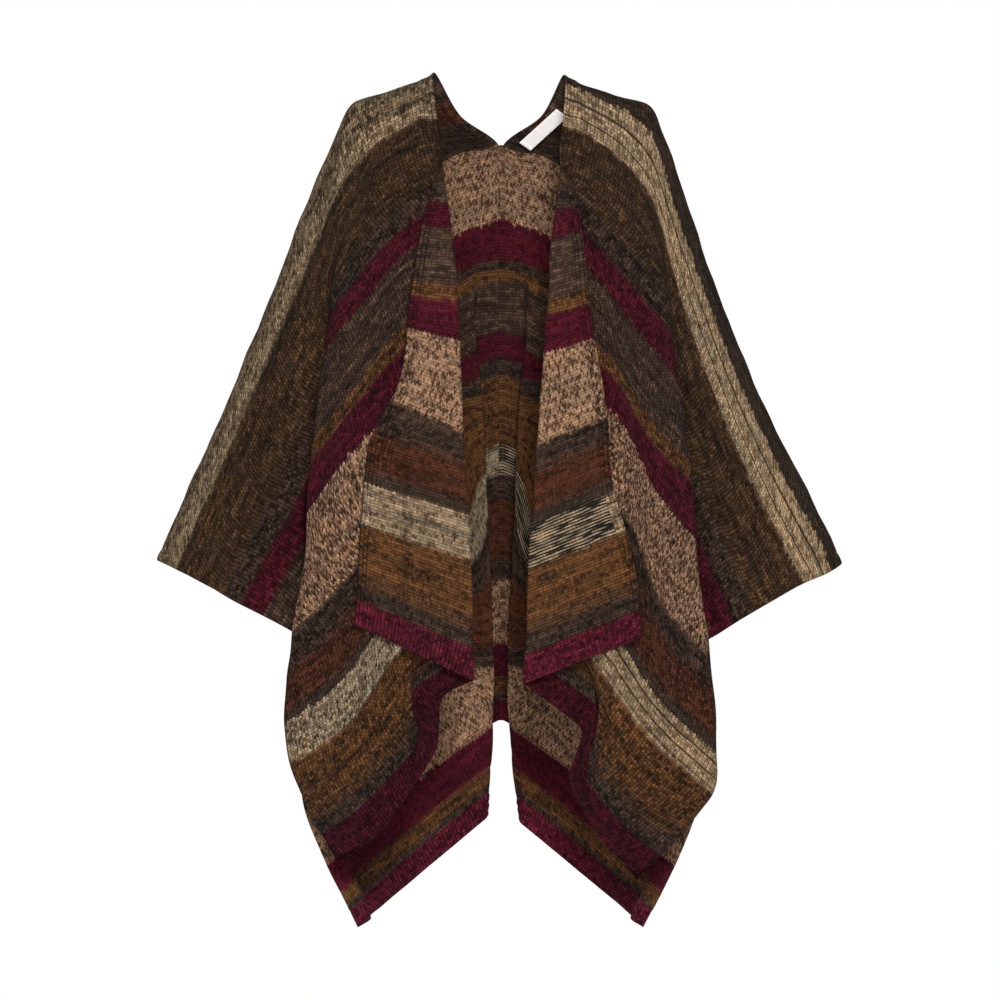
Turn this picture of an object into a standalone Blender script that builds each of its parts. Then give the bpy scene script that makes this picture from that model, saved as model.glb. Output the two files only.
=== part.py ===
"""Open-front knitted poncho, as it hangs from a pair of shoulders, hollow, with no wearer.

Two long panels of knit lie over the shoulders, one on each side. Each has a ribbed hem band at the front and
at the back, and one seam joins the panels down the centre back, below the point of the V neck. The origin is
between the two neck points, on top of the shoulders. +X is to the right, +Y to the back and +Z up.
"""

import bmesh
import bpy
import numpy as np

# Driving dimensions, in metres.
WALL = 0.002  # thickness of the knit
GAP = 0.0003  # clearance between pieces that are sewn together
FRONT_RIB = 0.033  # height of the ribbed band at the front hem
BACK_RIB = 0.026  # height of the ribbed band at the back hem
ROLL_RADIUS = 0.005  # roll of the front edge where it turns outward
FRONT_ROLL = (0.090, 0.150)  # the front edge starts to roll, and is rolled, here along the cloth
PLEAT_ROLL = (0.312, 0.390)  # the same for the back pleat, behind the shoulder
ROLL_SHARE = 0.4  # where nothing is rolled, the roll line lies this far from the crest to the edge line
NECK_POINT = -0.140  # where the V neck ends and the centre back seam starts, along the cloth
SEAM_EDGE = 0.003  # no panel comes nearer to the centre plane at the back
LABEL_START = -0.050  # the label's ends, along the cloth
LABEL_END = -0.134
LABEL_INSET = 0.0105  # from the neck edge to the label
LABEL_WIDTH = 0.019
LABEL_WALL = 0.001
LABEL_GAP = 0.0006  # clearance between the label and the panel that it lies on
LEFT, RIGHT = -1, 1
SHARP_ANGLE = 0.9  # radians: edges that turn more than this are shaded sharp

# Along the cloth, a panel is sampled closely where it bends over the shoulder and more widely on the straight.
FRONT_ROWS = 19
SHOULDER_ROWS = 8
BACK_ROWS = 15
SHOULDER_START = 0.130  # the bend over the shoulder runs from here to the point of the neck
RIB_ROWS = 2
LABEL_COLUMNS = 7

# A panel hangs from these lines, from its free front edge and the centre back out to its other long edge.
# inner: the free front edge, the neck edge and the seamed edge. crest: the fold where the front edge turns
# outward, and the deep fold of the back pleat. roll: the other side of that fold. edge: the outer fold of the
# back pleat. side: the fold that hangs below the arm. tuck: the hollow under the arm. hem: the sleeve edge.
LINES = ("inner", "crest", "roll", "edge", "mid", "outer", "side", "tuck", "hem")
COLUMNS = ("along", "across", "down", "depth")

# Each row is one section across the cloth, in millimetres. along: distance over the shoulder, positive to the
# front hem and negative to the back hem. across: out from the centre. down: below the origin. depth: backwards.
LEFT_FRONT = {
    "inner": [(727, 186, 714, -151), (595, 170, 584, -156), (436, 140, 426, -151), (300, 116, 292, -138),
              (204, 101, 200, -125), (146, 86, 146, -112), (128, 79, 129, -108), (109, 77, 110, -92), (60, 83, 60, -49),
              (0, 88, 0, 0)],
    "crest": [(727, 36, 786, -138), (595, 39, 629, -140), (436, 49, 465, -135), (300, 56, 299, -127),
              (204, 65, 202, -114), (146, 74, 143, -104), (128, 78, 127, -95), (109, 84, 109, -82), (60, 92, 60, -51),
              (0, 96, 4, 0)],
    "edge": [(727, 79, 806, -109), (694, 120, 803, -109), (637, 104, 753, -120), (595, 92, 703, -125),
             (436, 92, 530, -122), (300, 92, 326, -117), (204, 90, 213, -107), (146, 103, 157, -94),
             (60, 107, 61, -51), (0, 109, 13, 0)],
    "mid": [(727, 81, 874, -127), (694, 104, 868, -127), (637, 129, 814, -130), (595, 134, 749, -130),
            (436, 147, 599, -133), (300, 138, 369, -122), (204, 131, 239, -109), (146, 134, 178, -94),
            (60, 136, 77, -49), (0, 142, 23, 0)],
    "outer": [(727, 159, 992, -94), (694, 176, 949, -104), (637, 195, 897, -114), (595, 202, 852, -120),
              (436, 214, 672, -122), (343, 203, 507, -120), (300, 196, 447, -114), (204, 183, 304, -104),
              (146, 181, 221, -86), (60, 164, 90, -47), (0, 173, 32, 0), (-72, 151, 91, 42)],
    "side": [(727, 217, 1017, -44), (694, 239, 993, -55), (637, 266, 939, -68), (595, 281, 898, -78),
             (436, 277, 731, -94), (343, 257, 581, -94), (300, 252, 514, -94), (204, 233, 367, -83),
             (146, 222, 291, -70), (60, 207, 143, -39), (3, 199, 43, 0), (-65, 186, 120, 39)],
    "tuck": [(727, 160, 990, -5), (694, 172, 965, -8), (595, 198, 900, -16), (436, 188, 785, -16),
             (300, 187, 635, -24), (204, 192, 490, -38), (146, 205, 370, -46),
             (60, 260, 268, -34), (5, 282, 243, 0), (-65, 242, 250, 34)],
    "hem": [(727, 212, 1026, -16), (694, 226, 999, -20), (595, 250, 930, -18), (436, 258, 826, -24),
            (300, 238, 748, -32), (246, 272, 724, -36), (204, 311, 703, -39),
            (172, 341, 688, -39), (117, 382, 664, -38), (60, 422, 644, -29), (10, 446, 633, 0),
            (-39, 422, 645, 29), (-98, 381, 667, 38), (-221, 277, 720, 36), (-325, 216, 764, 26)],
}
RIGHT_FRONT = {
    "inner": [(732, 181, 731, -151), (698, 179, 696, -152), (595, 159, 592, -156), (541, 144, 542, -156),
              (442, 136, 446, -151), (300, 113, 303, -138), (204, 103, 205, -125), (147, 91, 152, -112),
              (128, 82, 134, -108), (109, 77, 115, -92), (60, 81, 64, -49), (0, 83, 3, 0)],
    "crest": [(732, 30, 790, -138), (595, 36, 642, -140), (442, 47, 482, -135), (300, 60, 317, -127),
              (204, 66, 216, -114), (147, 75, 148, -104), (128, 79, 131, -95), (109, 82, 113, -82), (60, 88, 65, -51),
              (-1, 91, 6, 0)],
    "edge": [(732, 109, 850, -104), (698, 132, 824, -106), (637, 117, 775, -116), (595, 92, 723, -125),
             (442, 96, 528, -125), (300, 96, 352, -117), (204, 90, 229, -107), (147, 107, 169, -95),
             (60, 104, 70, -51), (-4, 104, 16, 0)],
    "mid": [(732, 85, 913, -132), (698, 108, 914, -133), (637, 139, 859, -133), (595, 131, 777, -130),
            (541, 151, 728, -130), (442, 165, 573, -130), (300, 151, 404, -122), (204, 129, 272, -109),
            (147, 144, 209, -94), (60, 133, 90, -49), (-10, 136, 25, 0)],
    "outer": [(732, 130, 998, -94), (698, 156, 975, -104), (637, 186, 924, -114), (595, 192, 863, -120),
              (541, 198, 809, -121), (442, 205, 688, -122), (300, 195, 488, -114), (204, 183, 343, -104),
              (147, 183, 252, -86), (60, 161, 117, -47), (-23, 168, 34, 0), (-96, 151, 101, 42)],
    "side": [(732, 185, 1045, -44), (698, 213, 1019, -57), (637, 264, 963, -70), (595, 281, 939, -78),
             (541, 287, 888, -86), (442, 277, 759, -94), (343, 261, 615, -94), (300, 254, 540, -94),
             (204, 233, 404, -83), (147, 221, 294, -70), (60, 194, 155, -42), (-32, 198, 44, 0),
             (-99, 186, 125, 39)],
    "tuck": [(732, 146, 1005, -5), (698, 164, 976, -8), (595, 198, 915, -16), (442, 188, 800, -16),
             (300, 187, 655, -24), (204, 190, 520, -38), (147, 200, 390, -46),
             (60, 234, 257, -36), (-32, 268, 250, 0), (-99, 242, 260, 34)],
    "hem": [(732, 177, 1048, -18), (698, 197, 1028, -22), (595, 246, 955, -18), (442, 256, 846, -24),
            (300, 232, 764, -32), (221, 263, 738, -35), (204, 276, 731, -36),
            (172, 306, 712, -39), (117, 350, 686, -39), (60, 393, 662, -36), (20, 422, 650, -29),
            (-29, 443, 637, 0), (-81, 419, 647, 29), (-140, 376, 672, 38), (-247, 277, 725, 36),
            (-335, 216, 767, 26)],
}
# Behind the shoulders both panels hang alike, apart from the foot of the back pleat.
BACK = {
    "inner": [(-72, 53, 55, 34), (-140, 3, 92, 68), (-281, 3, 240, 96), (-406, 3, 367, 117),
              (-558, 3, 519, 148), (-780, 3, 741, 179), (-878, 3, 845, 188)],
    "crest": [(-72, 64, 60, 36), (-140, 20, 100, 71), (-200, 24, 160, 84), (-281, 28, 244, 99),
              (-340, 35, 302, 117), (-406, 50, 382, 131),
              (-558, 75, 551, 166), (-780, 117, 796, 203), (-878, 138, 913, 211)],
    "edge": [(-72, 79, 62, 39), (-140, 49, 102, 73), (-200, 44, 165, 86), (-281, 44, 250, 97),
             (-340, 34, 318, 94), (-406, 23, 394, 96),
             (-558, 13, 578, 109), (-780, 5, 844, 122)],
    "mid": [(-72, 112, 73, 42), (-140, 92, 124, 75), (-281, 99, 281, 104), (-406, 86, 432, 112),
            (-558, 79, 637, 130), (-780, 92, 907, 140), (-878, 88, 1030, 140)],
    "outer": [(-140, 151, 161, 73), (-281, 164, 337, 101), (-406, 164, 519, 117), (-558, 166, 741, 127),
              (-780, 172, 974, 104), (-878, 152, 1082, 98)],
    "side": [(-140, 203, 237, 65), (-281, 229, 425, 83), (-406, 246, 607, 86), (-558, 257, 803, 78),
             (-780, 217, 1013, 42), (-878, 173, 1098, 46)],
    "tuck": [(-140, 205, 350, 42), (-281, 192, 580, 30), (-406, 184, 720, 20), (-558, 184, 850, 8),
             (-719, 200, 955, 14), (-780, 198, 1004, 18), (-878, 168, 1100, 20)],
    "hem": [(-455, 238, 836, 10), (-585, 256, 908, 2), (-719, 250, 972, 0), (-780, 227, 1027, 4),
            (-878, 186, 1110, 8)],
}
PLEAT_FOOT = {LEFT: (-878, 12, 966, 125), RIGHT: (-878, 18, 972, 125)}
FRONT = {LEFT: LEFT_FRONT, RIGHT: RIGHT_FRONT}

# How far each fold is rounded, in metres from its line: at the front and at the back.
ROUNDING = {"crest": (0.004, 0.010), "roll": (0.004, 0.010), "edge": (0.018, 0.013), "mid": (0.018, 0.032),
            "outer": (0.039, 0.039), "side": (0.023, 0.023), "tuck": (0.060, 0.060)}
# Samples between one line and the next, and round the fold at each line.
SPANS = {"crest": 2, "roll": 1, "edge": 2, "mid": 2, "outer": 2, "side": 2, "tuck": 2, "hem": 4}
FOLD_SAMPLES = {"crest": 2, "roll": 2, "edge": 2, "mid": 2, "outer": 3, "side": 3, "tuck": 5}

# Base colour and roughness of each finish.
FINISHES = {"striped_knit": ((0.10, 0.06, 0.04), 0.95), "burgundy_rib": ((0.11, 0.012, 0.035), 0.95),
            "woven_label": ((0.80, 0.78, 0.74), 0.75)}


def smooth_step(value, start, end):
    """0 at the start, 1 at the end, and a smooth rise between them."""
    share = np.clip((value - start) / (end - start), 0.0, 1.0)
    return share * share * (3.0 - 2.0 * share)


def smooth_through(knots, values, where):
    """A smooth curve through the knots: cubic pieces that share their slopes."""
    step = np.diff(knots)
    rise = np.diff(values) / step
    between = (rise[:-1] * step[1:] + rise[1:] * step[:-1]) / (step[:-1] + step[1:])
    slope = np.concatenate([rise[:1], between, rise[-1:]])
    piece = np.clip(np.searchsorted(knots, where) - 1, 0, len(step) - 1)
    t = (where - knots[piece]) / step[piece]
    start = values[piece] * (1 + 2 * t) * (1 - t) ** 2 + slope[piece] * step[piece] * t * (1 - t) ** 2
    end = values[piece + 1] * t * t * (3 - 2 * t) - slope[piece + 1] * step[piece] * t * t * (1 - t)
    return start + end


def line_rows(side, name):
    """The sections of one line of a panel, from the back hem to the front hem, in metres."""
    rows = FRONT[side][name] + BACK[name]
    if name == "edge":
        rows = rows + [PLEAT_FOOT[side]]
    return np.array(sorted(rows)) * 0.001


def hanging_lines(side, along):
    """Points of every line of a panel at these distances along the cloth: line, distance, (x, y, z)."""
    lines = {}
    for name in set(LINES) - {"roll"}:
        rows = line_rows(side, name)
        across, down, depth = (
            smooth_through(rows[:, 0], rows[:, COLUMNS.index(column)], along) for column in COLUMNS[1:]
        )
        lines[name] = np.stack([side * np.maximum(across, SEAM_EDGE), depth, -down], axis=-1)
    rolled = (smooth_step(along, *FRONT_ROLL) - smooth_step(-along, *PLEAT_ROLL))[:, None]
    flat = (1 - abs(rolled)) * ROLL_SHARE * (lines["edge"] - lines["crest"])
    lines["roll"] = lines["crest"] + rolled * (0, ROLL_RADIUS, 0) + flat
    lines["crest"] = lines["crest"] - rolled * (0, ROLL_RADIUS, 0)
    return [lines[name] for name in LINES]


def towards(start, end, distance):
    """The point this far from start on the way to end, but never past the middle."""
    way = end - start
    length = np.linalg.norm(way, axis=-1, keepdims=True)
    return start + way * np.minimum(distance / np.maximum(length, 1e-6), 0.45)


def cloth(side, along):
    """The middle surface of a panel: a row of points across the cloth for each distance along it."""
    lines = hanging_lines(side, along)
    at_front = smooth_step(along, -0.195, 0.0)[:, None]
    columns = []
    start = lines[0]
    for index, name in enumerate(LINES[1:], start=1):
        line = lines[index]
        last = name == LINES[-1]
        front, back = (0.0, 0.0) if last else ROUNDING[name]
        cut = front * at_front + back * (1 - at_front)
        end = towards(line, lines[index - 1], cut)
        columns += [start + (end - start) * t for t in np.linspace(0, 1, SPANS[name] + 1)]
        if last:
            break
        start = towards(line, lines[index + 1], cut)
        for t in np.linspace(0, 1, FOLD_SAMPLES[name] + 1)[1:-1]:
            columns.append((1 - t) ** 2 * end + 2 * t * (1 - t) * line + t * t * start)
    return np.stack(columns, axis=1)


def unit(vectors):
    return vectors / np.maximum(np.linalg.norm(vectors, axis=-1, keepdims=True), 1e-9)


def outward(side, along):
    """The way out of the cloth, away from the wearer, at every point that cloth() gives."""
    nudge = 0.001
    along_way = cloth(side, along + nudge) - cloth(side, along - nudge)
    steps = unit(np.diff(cloth(side, along), axis=1))
    across_way = np.concatenate([steps[:, :1], unit(steps[:, 1:] + steps[:, :-1]), steps[:, -1:]], axis=1)
    return side * unit(np.cross(along_way, across_way))


def row_between(grid, rows, along):
    """The points of a section that lies between two rows of a grid, straight from one to the other."""
    after = np.searchsorted(rows, along)
    share = (along - rows[after - 1]) / (rows[after] - rows[after - 1])
    return grid[after - 1] + (grid[after] - grid[after - 1]) * share


def inset_point(points, inset):
    """The point of one section that lies this far along it from its inner edge."""
    run = np.concatenate([[0.0], np.cumsum(np.linalg.norm(np.diff(points, axis=0), axis=1))])
    return np.array([np.interp(inset, run, points[:, axis]) for axis in range(3)])


def finish(name):
    """The material of a piece: a plain rough fabric of its own colour."""
    material = bpy.data.materials.get(name)
    if material is None:
        colour, roughness = FINISHES[name]
        material = bpy.data.materials.new(name)
        material.use_nodes = True
        shader = material.node_tree.nodes["Principled BSDF"]
        shader.inputs["Base Color"].default_value = (*colour, 1.0)
        shader.inputs["Roughness"].default_value = roughness
        shader.inputs["Metallic"].default_value = 0.0
    return material


def shorter_diagonals(outer, inner):
    """For each four-sided patch of a wall, whether its shorter diagonal starts at its first corner."""
    middle = (outer + inner) / 2
    first = np.linalg.norm(middle[1:, 1:] - middle[:-1, :-1], axis=-1)
    second = np.linalg.norm(middle[1:, :-1] - middle[:-1, 1:], axis=-1)
    return first <= second


def add_wall(collection, name, outer, inner, material):
    """A closed wall between two grids of points, rows by columns: a loft of one ring for each row.

    The two faces of the wall are split along the same diagonals, so they stay apart on twisted patches.
    """
    rows, columns = outer.shape[:2]
    rings = np.concatenate([outer, inner[:, ::-1]], axis=1)
    around = 2 * columns
    from_first = shorter_diagonals(outer, inner)
    faces = []
    for row in range(rows - 1):
        for column in range(around):
            after = (column + 1) % around
            a, b = row * around + column, row * around + after
            c, d = b + around, a + around
            if column < columns - 1:
                split_from_a = from_first[row, column]
            elif columns <= column < around - 1:
                split_from_a = not from_first[row, around - 2 - column]
            else:
                split_from_a = True
            faces += [[a, b, c], [a, c, d]] if split_from_a else [[b, c, d], [b, d, a]]
    for row in (0, rows - 1):
        for column in range(columns - 1):
            near, far = row * around + column, row * around + around - 1 - column
            cap = [[near, far, far - 1], [near, far - 1, near + 1]]
            faces += cap if row == 0 else [corners[::-1] for corners in cap]
    mesh = bpy.data.meshes.new(name)
    mesh.from_pydata(rings.reshape(-1, 3), [], faces)
    shape = bmesh.new()
    shape.from_mesh(mesh)
    bmesh.ops.recalc_face_normals(shape, faces=shape.faces)
    shape.to_mesh(mesh)
    shape.free()
    mesh.shade_smooth()
    mesh.set_sharp_from_angle(angle=SHARP_ANGLE)
    mesh.materials.append(material)
    piece = bpy.data.objects.new(name, mesh)
    collection.objects.link(piece)


def add_cloth(collection, name, side, along, material):
    """A stretch of a panel, with half of its wall on each side of the middle surface."""
    middle = cloth(side, along)
    half = outward(side, along) * WALL / 2
    add_wall(collection, name, middle + half, middle - half, material)


def stretches(side):
    """Where each piece of a panel is sampled along the cloth, from the back hem to the front hem."""
    back_hem, front_hem = line_rows(side, "inner")[[0, -1], 0]
    back_seam, front_seam = back_hem + BACK_RIB, front_hem - FRONT_RIB
    back = np.linspace(back_seam + GAP / 2, NECK_POINT, BACK_ROWS + 1)
    shoulder = np.linspace(NECK_POINT, SHOULDER_START, SHOULDER_ROWS + 1)
    front = np.linspace(SHOULDER_START, front_seam - GAP / 2, FRONT_ROWS + 1)
    return {
        "back_rib": np.linspace(back_hem, back_seam - GAP / 2, RIB_ROWS + 1),
        "panel": np.concatenate([back, shoulder[1:], front[1:]]),
        "front_rib": np.linspace(front_seam + GAP / 2, front_hem, RIB_ROWS + 1),
    }


def add_side(collection, side, prefix):
    """One panel with its two ribbed hem bands."""
    for name, along in stretches(side).items():
        material = finish("striped_knit" if name == "panel" else "burgundy_rib")
        add_cloth(collection, prefix + name, side, along, material)


def add_centre_back_seam(collection):
    """The linked seam: it fills the space between the edges of the two panels, less the clearance."""
    rows = stretches(RIGHT)
    along = np.concatenate([rows["back_rib"], rows["panel"][: BACK_ROWS + 1]])
    middle = cloth(RIGHT, along)[:, 0]
    half = outward(RIGHT, along)[:, 0] * WALL / 2
    faces = [edge - (GAP, 0, 0) for edge in (middle + half, middle - half)]
    outer, inner = (np.stack([edge * (-1, 1, 1), edge], axis=1) for edge in faces)
    add_wall(collection, "centre_back_seam", outer, inner, finish("striped_knit"))


def add_neck_label(collection):
    """The blank label: a patch of the right panel's own points, moved out on the wearer's side."""
    rows = stretches(RIGHT)["panel"]
    within = rows[(rows > LABEL_END) & (rows < LABEL_START)]
    insets = LABEL_INSET + np.linspace(0, LABEL_WIDTH, LABEL_COLUMNS + 1)
    near = WALL / 2 + LABEL_GAP
    faces = []
    for distance in (near, near + LABEL_WALL):
        panel = cloth(RIGHT, rows) - outward(RIGHT, rows) * distance
        sections = [row_between(panel, rows, along) for along in (LABEL_END, *within, LABEL_START)]
        faces.append(np.array([[inset_point(points, inset) for inset in insets] for points in sections]))
    under, top = faces
    add_wall(collection, "neck_label", top, under, finish("woven_label"))


def main():
    for thing in list(bpy.data.objects):
        bpy.data.objects.remove(thing, do_unlink=True)
    collection = bpy.data.collections.new("knitted_poncho")
    bpy.context.scene.collection.children.link(collection)
    add_side(collection, LEFT, "left_")
    add_side(collection, RIGHT, "right_")
    add_centre_back_seam(collection)
    add_neck_label(collection)


main()
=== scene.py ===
import math

import bpy
import numpy as np
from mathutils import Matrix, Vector


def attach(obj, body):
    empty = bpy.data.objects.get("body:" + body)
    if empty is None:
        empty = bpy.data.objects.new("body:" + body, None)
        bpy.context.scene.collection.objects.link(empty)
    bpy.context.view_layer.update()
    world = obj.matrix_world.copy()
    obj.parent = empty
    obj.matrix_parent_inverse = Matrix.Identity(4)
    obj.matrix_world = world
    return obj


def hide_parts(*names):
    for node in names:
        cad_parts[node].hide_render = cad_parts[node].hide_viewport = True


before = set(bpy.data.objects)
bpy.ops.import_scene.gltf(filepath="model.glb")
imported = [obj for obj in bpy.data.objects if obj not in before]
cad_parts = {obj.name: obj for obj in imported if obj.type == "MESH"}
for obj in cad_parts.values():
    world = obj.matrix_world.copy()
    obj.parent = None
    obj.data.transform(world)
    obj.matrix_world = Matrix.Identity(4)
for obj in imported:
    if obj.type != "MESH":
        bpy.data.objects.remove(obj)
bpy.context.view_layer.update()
print("frame loaded")

# sections across each panel, in millimetres: along the cloth, out from the centre, down, and backwards.
leftFront = {
    "inner": [
        (727, 188, 714, -137), (677, 184, 665, -138), (603, 180, 592, -139), (552, 176, 542, -140),
        (522, 173, 512, -142), (492, 169, 482, -145), (464, 156, 454, -148), (436, 140, 426, -150),
        (300, 116, 292, -138), (204, 101, 200, -125), (146, 86, 146, -112), (128, 79, 129, -108), (109, 77, 110, -92),
        (60, 83, 60, -49), (0, 88, 0, 0)],
    "crest": [
        (727, 36, 786, -138), (595, 39, 629, -140), (436, 49, 465, -135), (300, 56, 299, -127), (204, 65, 202, -114),
        (146, 74, 143, -104), (128, 78, 127, -95), (109, 84, 109, -82), (60, 92, 60, -51), (0, 96, 4, 0)],
    "edge": [
        (727, 79, 806, -109), (694, 120, 803, -109), (637, 104, 753, -120), (595, 92, 703, -125),
        (436, 92, 530, -122), (300, 92, 326, -117), (204, 90, 213, -107), (146, 103, 157, -94), (60, 107, 61, -51),
        (0, 109, 13, 0)],
    "mid": [
        (727, 81, 874, -127), (694, 104, 868, -127), (637, 129, 814, -130), (595, 134, 749, -130),
        (436, 147, 599, -133), (300, 138, 369, -122), (204, 131, 239, -109), (146, 134, 178, -94), (60, 136, 77, -49),
        (0, 142, 23, 0)],
    "outer": [
        (727, 159, 992, -94), (694, 176, 949, -104), (637, 195, 897, -114), (595, 202, 852, -120),
        (436, 214, 672, -122), (343, 203, 507, -120), (300, 196, 447, -114), (204, 183, 304, -104),
        (146, 181, 221, -86), (60, 164, 90, -47), (0, 173, 32, 0), (-72, 151, 91, 42)],
    "side": [
        (727, 217, 1017, -44), (694, 239, 993, -55), (637, 266, 939, -68), (595, 281, 898, -78), (436, 277, 731, -94),
        (343, 257, 581, -94), (300, 252, 514, -94), (204, 233, 367, -83), (146, 222, 291, -70), (60, 207, 143, -39),
        (3, 199, 43, 0), (-65, 186, 120, 39)],
    "tuck": [
        (727, 160, 990, -5), (694, 172, 965, -8), (595, 198, 900, -16), (436, 188, 785, -16), (300, 187, 635, -24),
        (204, 192, 490, -38), (146, 205, 370, -46), (60, 260, 268, -34), (5, 282, 243, 0), (-65, 242, 250, 34)],
    "hem": [
        (727, 212, 1026, -16), (694, 226, 999, -20), (595, 250, 930, -18), (436, 258, 826, -24), (300, 238, 748, -32),
        (246, 272, 724, -36), (204, 311, 703, -39), (172, 341, 688, -39), (117, 382, 664, -38), (60, 422, 644, -29),
        (10, 446, 633, 0), (-39, 422, 645, 29), (-98, 381, 667, 38), (-221, 277, 720, 36), (-325, 216, 764, 26)],
}
rightFront = {
    "inner": [
        (732, 181, 731, -143), (698, 179, 696, -144), (595, 159, 592, -148), (541, 144, 542, -152),
        (442, 136, 446, -151), (300, 113, 303, -138), (204, 103, 205, -125), (147, 91, 152, -112),
        (128, 82, 134, -108), (109, 77, 115, -92), (60, 81, 64, -49), (0, 83, 3, 0)],
    "crest": [
        (732, 30, 790, -138), (595, 36, 642, -140), (442, 47, 482, -135), (300, 60, 317, -127), (204, 66, 216, -114),
        (147, 75, 148, -104), (128, 79, 131, -95), (109, 82, 113, -82), (60, 88, 65, -51), (-1, 91, 6, 0)],
    "edge": [
        (732, 109, 850, -104), (698, 132, 824, -106), (637, 117, 775, -116), (595, 92, 723, -125),
        (442, 96, 528, -125), (300, 96, 352, -117), (204, 90, 229, -107), (147, 107, 169, -95), (60, 104, 70, -51),
        (-4, 104, 16, 0)],
    "mid": [
        (732, 85, 913, -132), (698, 108, 914, -133), (637, 139, 859, -133), (595, 131, 777, -130),
        (541, 151, 728, -130), (442, 165, 573, -130), (300, 151, 404, -122), (204, 129, 272, -109),
        (147, 144, 209, -94), (60, 133, 90, -49), (-10, 136, 25, 0)],
    "outer": [
        (732, 130, 998, -94), (698, 156, 975, -104), (637, 186, 924, -114), (595, 192, 863, -120),
        (541, 198, 809, -121), (442, 205, 688, -122), (300, 195, 488, -114), (204, 183, 343, -104),
        (147, 183, 252, -86), (60, 161, 117, -47), (-23, 168, 34, 0), (-96, 151, 101, 42)],
    "side": [
        (732, 185, 1045, -44), (698, 213, 1019, -57), (637, 264, 963, -70), (595, 281, 939, -78),
        (541, 287, 888, -86), (442, 277, 759, -94), (343, 261, 615, -94), (300, 254, 540, -94), (204, 233, 404, -83),
        (147, 221, 294, -70), (60, 194, 155, -42), (-32, 198, 44, 0), (-99, 186, 125, 39)],
    "tuck": [
        (732, 146, 1005, -5), (698, 164, 976, -8), (595, 198, 915, -16), (442, 188, 800, -16), (300, 187, 655, -24),
        (204, 190, 520, -38), (147, 200, 390, -46), (60, 234, 257, -36), (-32, 268, 250, 0), (-99, 242, 260, 34)],
    "hem": [
        (732, 177, 1048, -18), (698, 197, 1028, -22), (595, 246, 955, -18), (442, 256, 846, -24),
        (300, 232, 764, -32), (221, 263, 738, -35), (204, 276, 731, -36), (172, 306, 712, -39), (117, 350, 686, -39),
        (60, 393, 662, -36), (20, 422, 650, -29), (-29, 443, 637, 0), (-81, 419, 647, 29), (-140, 376, 672, 38),
        (-247, 277, 725, 36), (-335, 216, 767, 26)],
}
bothBacks = {
    "inner": [
        (-72, 53, 55, 34), (-140, 3, 92, 68), (-281, 3, 240, 96), (-406, 3, 367, 117), (-558, 3, 519, 148),
        (-780, 3, 741, 179), (-878, 3, 845, 188)],
    "crest": [
        (-72, 64, 60, 36), (-140, 20, 100, 71), (-200, 24, 160, 84), (-281, 28, 244, 99), (-340, 35, 302, 117),
        (-406, 50, 382, 131), (-558, 75, 551, 166), (-780, 117, 796, 203), (-878, 138, 913, 211)],
    "edge": [
        (-72, 79, 62, 39), (-140, 49, 102, 73), (-200, 44, 165, 86), (-281, 44, 250, 97), (-340, 34, 318, 94),
        (-406, 23, 394, 96), (-558, 13, 578, 109), (-780, 5, 844, 122)],
    "mid": [
        (-72, 112, 73, 42), (-140, 92, 124, 75), (-281, 99, 281, 104), (-406, 86, 432, 112), (-558, 79, 637, 130),
        (-780, 92, 907, 140), (-878, 88, 1030, 140)],
    "outer": [
        (-140, 151, 161, 73), (-281, 164, 337, 101), (-406, 164, 519, 117), (-558, 166, 741, 127),
        (-780, 172, 974, 104), (-878, 152, 1082, 98)],
    "side": [
        (-140, 203, 237, 65), (-281, 229, 425, 83), (-406, 246, 607, 86), (-558, 257, 803, 78), (-780, 217, 1013, 42),
        (-878, 173, 1098, 46)],
    "tuck": [
        (-140, 205, 350, 42), (-281, 192, 580, 30), (-406, 184, 720, 20), (-558, 184, 850, 8), (-719, 200, 955, 14),
        (-780, 198, 1004, 18), (-878, 168, 1100, 20)],
    "hem": [
        (-455, 238, 836, 10), (-585, 256, 908, 2), (-719, 250, 972, 0), (-780, 227, 1027, 4), (-878, 186, 1110, 8)],
}
frontLines = {-1: leftFront, 1: rightFront}
pleatFoot = {-1: (-878, 12, 966, 125), 1: (-878, 18, 972, 125)}
hanging = {
    "wall": 0.002,
    "gap": 0.0003,
    "frontRib": 0.033,
    "backRib": 0.026,
    "rollRadius": 0.005,
    "frontRoll": (0.090, 0.150),
    "pleatRoll": (0.312, 0.390),
    "flatRoll": 0.4,
    "neckPoint": -0.140,
    "seamEdge": 0.003,
    "backToFront": (-0.195, 0.0),
    "largestCut": 0.45,
    "patternShift": 1.719,
    "edgeLines": (0.002, 0.0045, 0.007, 0.0095, 0.012, 0.0135, 0.015, 0.018),
    "edgeShare": 0.85,
    "curl": (0.0024, 0.015),
    "curlFade": 0.03,
    "sagFade": (0.26, 0.40, 0.70, 0.80),
    "sags": ((0.032, 0.222, 0.045), (-0.016, 0.145, 0.035)),
    "drift": ((0.0, 0.022, 0.115, 0.25, 0.44, 0.56, 0.70), (-0.014, -0.014, -0.020, -0.004, 0.002, -0.006, -0.022)),
    "driftFade": (0.07, 0.17),
    "turned": (0.034, (0.436, 0.470), (0.515, 0.575)),
}
# for each line after the inner one: the steps up to it, the steps round its fold, and the fold's reach in front and
# at the back
lineFolds = {"crest": (24, 4, 0.004, 0.010), "roll": (2, 4, 0.004, 0.010), "edge": (16, 5, 0.018, 0.013),
             "mid": (16, 4, 0.018, 0.032), "outer": (16, 5, 0.039, 0.039), "side": (16, 6, 0.023, 0.023),
             "tuck": (12, 6, 0.060, 0.060), "hem": (20, 0, 0.0, 0.0)}
tiny = 1e-9


def smoothStep(value, start, end):
    # from 0 to 1 between start and end: share^2 (3 - 2 share)
    share = np.clip((value - start) / (end - start), 0.0, 1.0)
    return share * share * (3.0 - 2.0 * share)


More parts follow.
